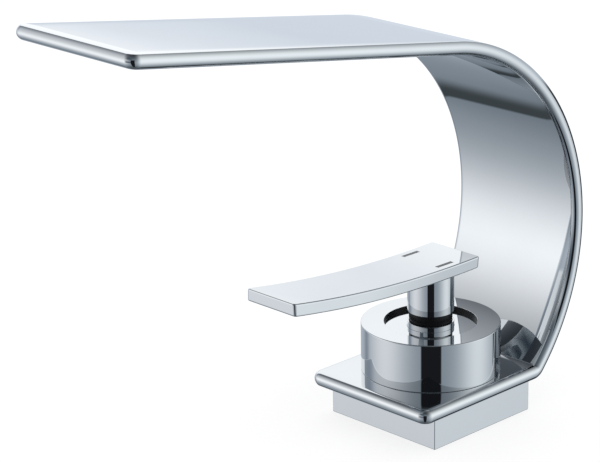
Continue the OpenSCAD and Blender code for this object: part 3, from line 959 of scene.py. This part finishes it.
@dataclass
class ValveHousing(Assembly):
    """The round housing on the leaf: sleeve, recess ring, recess floor and what they cover."""

    leaf_top: float = 17.2
    radius: float = 25.0
    rim: float = 34.9
    recess: float = 16.75
    floor: float = 33.25
    under: float = 31.25
    lip: float = 0.1
    seat: float = 18.15
    bore: float = 22.75
    ring_out: float = 18.1
    ring_in: float = 16.8
    hole: float = 8.45
    foot_soft: float = 0.25
    rim_soft: float = 0.4
    mouth_soft: float = 0.08
    lip_soft: float = 0.05
    inner_soft: float = 0.1
    steps: int = 192

    def build(self) -> None:
        """Makes the three visible rings and dresses the pieces inside."""
        lip_under = self.rim - self.lip
        sleeve = filleted(
            [
                (self.radius, self.leaf_top, self.foot_soft),
                (self.radius, self.rim, self.rim_soft),
                (self.recess, self.rim, self.mouth_soft),
                (self.recess, lip_under, self.lip_soft),
                (self.seat, lip_under, 0),
                (self.seat, self.under, 0),
                (self.bore, self.under, 0),
                (self.bore, self.leaf_top, 0),
            ]
        )
        ring = filleted(
            [
                (self.ring_out, self.floor, 0),
                (self.ring_out, lip_under, 0),
                (self.ring_in, lip_under, self.inner_soft),
                (self.ring_in, self.floor, 0),
            ]
        )
        disc = filleted(
            [
                (self.ring_out, self.under, 0),
                (self.ring_out, self.floor, 0),
                (self.hole, self.floor, self.inner_soft),
                (self.hole, self.under, 0),
            ]
        )
        for name, runs, slot, node in (
            ("round_sleeve", sleeve, Slot.CHROME, "housing_sleeve"),
            ("recess_liner", ring, Slot.BLACK_TRIM, "recess_ring"),
            ("recess_floor", disc, Slot.CHROME, "cap_disc"),
        ):
            self.place(mesh_of(name, turned(runs, self.steps)), slot, Body.FAUCET, node)
        self.dress(Slot.BRASS, "valve_body", "lock_nut")
        self.dress(Slot.RUBBER, "collar_seal", "inlet_seals", "cartridge_seals")
        self.dress(Slot.CARTRIDGE_PLASTIC, "cartridge_base", "cartridge_shell")
        self.dress(Slot.CARTRIDGE_PLASTIC, "disc_carrier", "rotor")
        self.dress(Slot.CERAMIC, "fixed_disc", "moving_disc")


@dataclass
class Lever(Assembly):
    """The lever: neck ring, ball skirt, stem and the flat curved bar with its two marks."""

    neck_out: float = 8.4
    neck_in: float = 7.85
    neck_low: float = 32.05
    neck_top: float = 35.2
    bar_half: float = 11.7
    draft: float = 0.2
    tuck: float = 0.62
    tuck_from: float = -48.0
    tuck_full: float = 2.0
    bar_front: float = 78.5
    bar_back: float = 13.4
    bar_t: float = 4.5
    bar_top: float = 58.45
    curve: float = 488.0
    low_y: float = 5.0
    edge: float = 0.65
    edge_steps: int = 6
    corner: float = 1.2
    corner_steps: int = 6
    inner_x: float = 4.0
    front_rows: int = 40
    mark_rows: int = 5
    back_rows: int = 8
    neck_soft: float = 0.1
    neck_steps: int = 128
    mark_x: float = 8.1
    mark_w: float = 1.6
    mark_y: float = -1.75
    mark_l: float = 8.1
    mark_t: float = 0.5

    def bar_curve(self, points: np.ndarray) -> np.ndarray:
        """Curves the flat bar: its height over each y is an arc about the curve's centre.

        A point h over the underside lies on the arc whose radius is the curve's plus what is left
        of the thickness. The width shrinks by the draft from the underside to the top. Towards the
        back the underside is tucked in too, by a smooth step along the bar.

        Args:
            points: Points as x, y and height over the underside.

        Returns:
            The curved points.
        """
        x, y, h = points[..., 0], points[..., 1], points[..., 2]
        centre = self.bar_top + self.curve
        z = centre - np.sqrt((self.curve + self.bar_t - h) ** 2 - (y - self.low_y) ** 2)
        along = np.clip((y - self.tuck_from) / (self.tuck_full - self.tuck_from), 0, 1)
        tuck = self.tuck * along**2 * (3 - 2 * along)
        share = h / self.bar_t
        narrowed = self.draft * share + tuck * (1 - share)
        return np.stack([x * (1 - narrowed / self.bar_half), y, z], axis=-1)

    def build(self) -> None:
        """Makes the neck ring and the bar, and dresses the rest."""
        neck = filleted(
            [
                (self.neck_out, self.neck_low, 0),
                (self.neck_out, self.neck_top, self.neck_soft),
                (self.neck_in, self.neck_top, 0),
                (self.neck_in, self.neck_low, 0),
            ]
        )
        mesh = mesh_of("neck_collar", turned(neck, self.neck_steps))
        self.place(mesh, Slot.CHROME, Body.CARTRIDGE, "neck_ring")
        self.bar()
        self.dress(Slot.CHROME, "lever_stem", "grub_cap")
        self.dress(Slot.BLACK_TRIM, "ball_skirt")
        self.dress(Slot.GREY_MARK, "hot_mark", "cold_mark")
        self.dress(Slot.STEEL, "pivot_pin", "lever_spindle", "bar_screw", "grub_screw")

    def bar(self) -> None:
        """Makes the bar as a strip with softened edges and two pockets for the marks."""
        e, t = self.edge, self.bar_t
        shrink = 1 - self.draft / self.bar_half
        inner, outer = ((self.mark_x + side * self.mark_w / 2) / shrink for side in (-1, 1))
        ends = (self.mark_y - self.mark_l / 2, self.mark_y + self.mark_l / 2)
        pocket = ((1.0, 1.0, t - self.mark_t),)
        wells = [Well(x, ends, pocket) for x in ((-outer, -inner), (inner, outer))]
        strip = Strip(
            half=self.bar_half - e,
            start=-self.bar_front + e,
            end=self.bar_back - e,
            corner=self.corner - e,
            low=0.0,
            high=t,
            edge=[
                arc_run((0, e), e, -90, 0, self.edge_steps),
                line_run((e, e), (e, t - e)),
                arc_run((0, t - e), e, 0, 90, self.edge_steps),
            ],
            columns=np.array([-outer, -inner, -self.inner_x, 0.0, self.inner_x, inner, outer]),
            rows=places(
                (-self.bar_front, ends[0], self.front_rows),
                (*ends, self.mark_rows),
                (ends[1], self.bar_back, self.back_rows),
            ),
            corner_steps=self.corner_steps,
            wells=wells,
        )
        curved = [(patch.moved(self.bar_curve), keep) for patch, keep in strip.patches()]
        self.place(mesh_of("curved_bar", curved), Slot.CHROME, Body.LEVER, "lever_bar")


# ---- studio


@dataclass(frozen=True)
class Glow:
    """A soft light of the studio, brightest at its middle and fading over its widths."""

    azimuth: float
    elevation: float
    wide: float
    tall: float
    colour: Triple


@dataclass(frozen=True)
class Card:
    """A card of the studio with soft edges, by its first and last azimuth and elevation."""

    azimuths: Pair
    elevations: Pair
    soft: Pair
    """Softness of its first side, and of its other sides."""

    colour: Triple


@dataclass
class Studio:
    """Floor, plain world and the tent of soft lights and cards that the chrome mirrors."""

    tent_radius: float = 3.0
    floor_size: float = 12.0
    floor_colour: Triple = (0.9, 0.9, 0.9)
    floor_glow: float = 1.12
    floor_lift: float = 0.7
    floor_drop: float = 0.05
    light: float = 1.0
    elevations: Sequence[float] = (-90, -60, -45, -21, 0, 24, 50, 65, 90)
    heights: Sequence[float] = (0.06, 0.15, 0.25, 0.27, 0.29, 0.20, 0.10, 0.06, 0.05)
    tint: Triple = (0.85, 1.0, 1.16)
    darkest: float = 0.02
    gain: float = 1.17
    glows: Sequence[Glow] = (
        Glow(323, 1, 42, 32, (0.80, 0.775, 0.755)),  # front left
        Glow(126, 6, 36, 45, (0.74, 0.75, 0.73)),  # back right
        Glow(226, 2, 50, 26, (0.39, 0.40, 0.43)),  # back left
        Glow(272, -24, 9, 18, (-0.18, -0.18, -0.17)),  # shade, left, low
        Glow(284, 22, 14, 12, (-0.14, -0.12, -0.09)),  # shade, left, high
        Glow(300, 33, 14, 12, (0.17, 0.17, 0.18)),  # left, high
    )
    cards: Sequence[Card] = (
        Card((195, 262), (5.3, 48), (1.0, 1.0), (1.01, 1.03, 1.05)),  # white, back left
        Card((200, 226), (7, 19), (3.5, 3.5), (0.85, 0.88, 0.92)),  # pale grey, on it
        Card((166, 200), (-75, 1), (2.0, 2.0), (0.03, 0.035, 0.04)),  # black, back, low
        Card((263, 276), (-80, -40), (7.0, 0.8), (0.050, 0.060, 0.065)),  # black, left, low
        Card((342, 394), (-10, 12), (18.0, 11.0), (0.09, 0.11, 0.14)),  # dark, front
        Card((342, 394), (30, 54), (18.0, 9.0), (0.08, 0.10, 0.12)),  # dark, front, high
        Card((27, 60), (-70, 25.5), (1.0, 1.0), (0.010, 0.011, 0.013)),  # black, camera side
    )

    def tent_light(self, azimuth: np.ndarray, elevation: np.ndarray) -> np.ndarray:
        """Works out the tent's brightness.

        The tent's own brightness is read off a line over the elevation. Each glow adds its colour
        times e to the minus squared distances over its widths, and each card is laid over that
        with an edge that is a smooth step over its softness.

        Args:
            azimuth: Azimuths in degrees, 0 being towards -Y.
            elevation: Elevations in degrees.

        Returns:
            Colours, of shape (..., 3).
        """
        height = np.interp(elevation, self.elevations, self.heights)
        light = height[..., None] * np.array(self.tint)
        for glow in self.glows:
            across = ((azimuth - glow.azimuth + 180) % 360 - 180) / glow.wide
            over = (elevation - glow.elevation) / glow.tall
            light = light + np.exp(-(across**2) - over**2)[..., None] * np.array(glow.colour)
        light = np.maximum(light, self.darkest)
        for card in self.cards:
            first, others = card.soft
            middle, half = sum(card.azimuths) / 2, (card.azimuths[1] - card.azimuths[0]) / 2
            across = (azimuth - middle + 180) % 360 - 180
            over = np.maximum(card.elevations[0] - elevation, elevation - card.elevations[1])
            beyond = np.maximum(np.maximum(across - half, over) / others, (-across - half) / first)
            share = np.clip(0.5 - beyond / 2, 0, 1)
            share = (share * share * (3 - 2 * share))[..., None]
            light = (1 - share) * light + share * np.array(card.colour)
        return self.gain * light

    def build(self) -> None:
        """Makes the tent, the floor and the world."""
        self.tent()
        self.floor()
        self.world()

    def tent(self) -> None:
        """Makes the tent: a sphere of directions, seen only by reflections."""
        azimuth, elevation = np.meshgrid(np.arange(0, 361.0), np.linspace(-90, 90, 181))
        a, e = np.radians(azimuth), np.radians(elevation)
        ring = np.stack([np.sin(a) * np.cos(e), -np.cos(a) * np.cos(e), np.sin(e)], axis=-1)
        points = ring * self.tent_radius / MM
        mesh = mesh_of("tent", [(Patch(points, -ring), None)])
        place = np.empty(len(mesh.vertices) * 3, np.float32)
        mesh.vertices.foreach_get("co", place)
        x, y, z = (place.reshape(-1, 3) / self.tent_radius).T
        colour = self.tent_light(
            np.degrees(np.arctan2(x, -y)), np.degrees(np.arcsin(np.clip(z, -1, 1)))
        )
        colour = np.concatenate([colour, np.ones((len(colour), 1))], axis=1)
        glow = mesh.attributes.new("glow", "FLOAT_COLOR", "POINT")
        glow.data.foreach_set("color", colour.astype(np.float32).ravel())
        tent = bpy.data.objects.new("tent", mesh)
        bpy.context.scene.collection.objects.link(tent)
        made = bare_material("tent_cloth")
        nodes = made.node_tree.nodes
        read = nodes.new("ShaderNodeAttribute")
        read.attribute_name = "glow"
        shine, out = nodes.new("ShaderNodeEmission"), nodes.new("ShaderNodeOutputMaterial")
        links = (read, "Color", shine, "Color"), (shine, "Emission", out, "Surface")
        wire(made.node_tree, *links)
        made.cycles.emission_sampling = "NONE"
        mesh.materials.append(made)
        tent.visible_camera = tent.visible_diffuse = tent.visible_shadow = False

    def floor(self) -> None:
        """Makes the pale floor, which keeps the object's shadow and meets the white world."""
        half = self.floor_size / 2 / MM
        across = np.linspace(-half, half, 3)
        x, y = np.meshgrid(across, across)
        points = np.stack([x, y, np.full(x.shape, -self.floor_drop)], axis=-1)
        patch = Patch(points, np.broadcast_to([0.0, 0.0, 1.0], points.shape))
        floor = bpy.data.objects.new("floor", mesh_of("floor", [(patch, None)]))
        bpy.context.scene.collection.objects.link(floor)
        made = bare_material("pale_floor")
        nodes = made.node_tree.nodes
        matt, glow = nodes.new("ShaderNodeBsdfDiffuse"), nodes.new("ShaderNodeEmission")
        both, out = nodes.new("ShaderNodeMixShader"), nodes.new("ShaderNodeOutputMaterial")
        ray, lift = nodes.new("ShaderNodeLightPath"), nodes.new("ShaderNodeMath")
        lift.operation = "MULTIPLY"
        lift.inputs[1].default_value = self.floor_lift
        glow.inputs["Strength"].default_value = self.floor_glow
        matt.inputs["Color"].default_value = (*self.floor_colour, 1.0)
        wire(
            made.node_tree,
            (ray, "Is Camera Ray", lift, 0),
            (lift, "Value", both, "Fac"),
            (matt, "BSDF", both, 1),
            (glow, "Emission", both, 2),
            (both, "Shader", out, "Surface"),
        )
        made.cycles.emission_sampling = "NONE"
        floor.data.materials.append(made)
        floor.visible_glossy = False

    def world(self) -> None:
        """Makes the even white world."""
        world = bpy.data.worlds.new("studio")
        world.use_nodes = True
        back = world.node_tree.nodes["Background"]
        back.inputs["Color"].default_value = (1.0, 1.0, 1.0, 1.0)
        back.inputs["Strength"].default_value = self.light
        bpy.context.scene.world = world


@dataclass
class Camera:
    """The photograph's camera, as fitted to it."""

    azimuth: float = 45.8595
    elevation: float = 19.087
    roll: float = -0.9744
    distance: float = 823.1045
    target: Triple = (0.0, -64.2306, 84.8996)
    lens: float = 148.188
    sensor: float = 36.0
    clip: Pair = (0.01, 100.0)

    def build(self) -> None:
        """Makes the camera and looks through it."""
        a, e, r = (math.radians(v) for v in (self.azimuth, self.elevation, self.roll))
        back = Vector((math.sin(a) * math.cos(e), -math.cos(a) * math.cos(e), math.sin(e)))
        right = Vector((math.cos(a), math.sin(a), 0.0))
        up = back.cross(right)
        c, s = math.cos(r), math.sin(r)
        right, up = right * c + up * s, up * c - right * s
        place = (Vector(self.target) + back * self.distance) * MM
        data = bpy.data.cameras.new("camera")
        data.lens = self.lens
        data.sensor_width = self.sensor
        data.clip_start, data.clip_end = self.clip
        camera = bpy.data.objects.new("camera", data)
        turn = Matrix((right, up, back)).transposed().to_4x4()
        camera.matrix_world = Matrix.Translation(place) @ turn
        bpy.context.scene.collection.objects.link(camera)
        bpy.context.scene.camera = camera


def main() -> None:
    """Builds the camera, the studio and every sub-assembly, in that order."""
    logging.basicConfig(level=logging.INFO, format="%(message)s")
    bpy.context.scene.view_settings.view_transform = "Standard"
    Camera().build()
    Studio().build()
    for assembly in (BaseBlock(), SpoutRibbon(), ValveHousing(), Lever()):
        assembly.build()


if __name__ == "__main__":
    main()
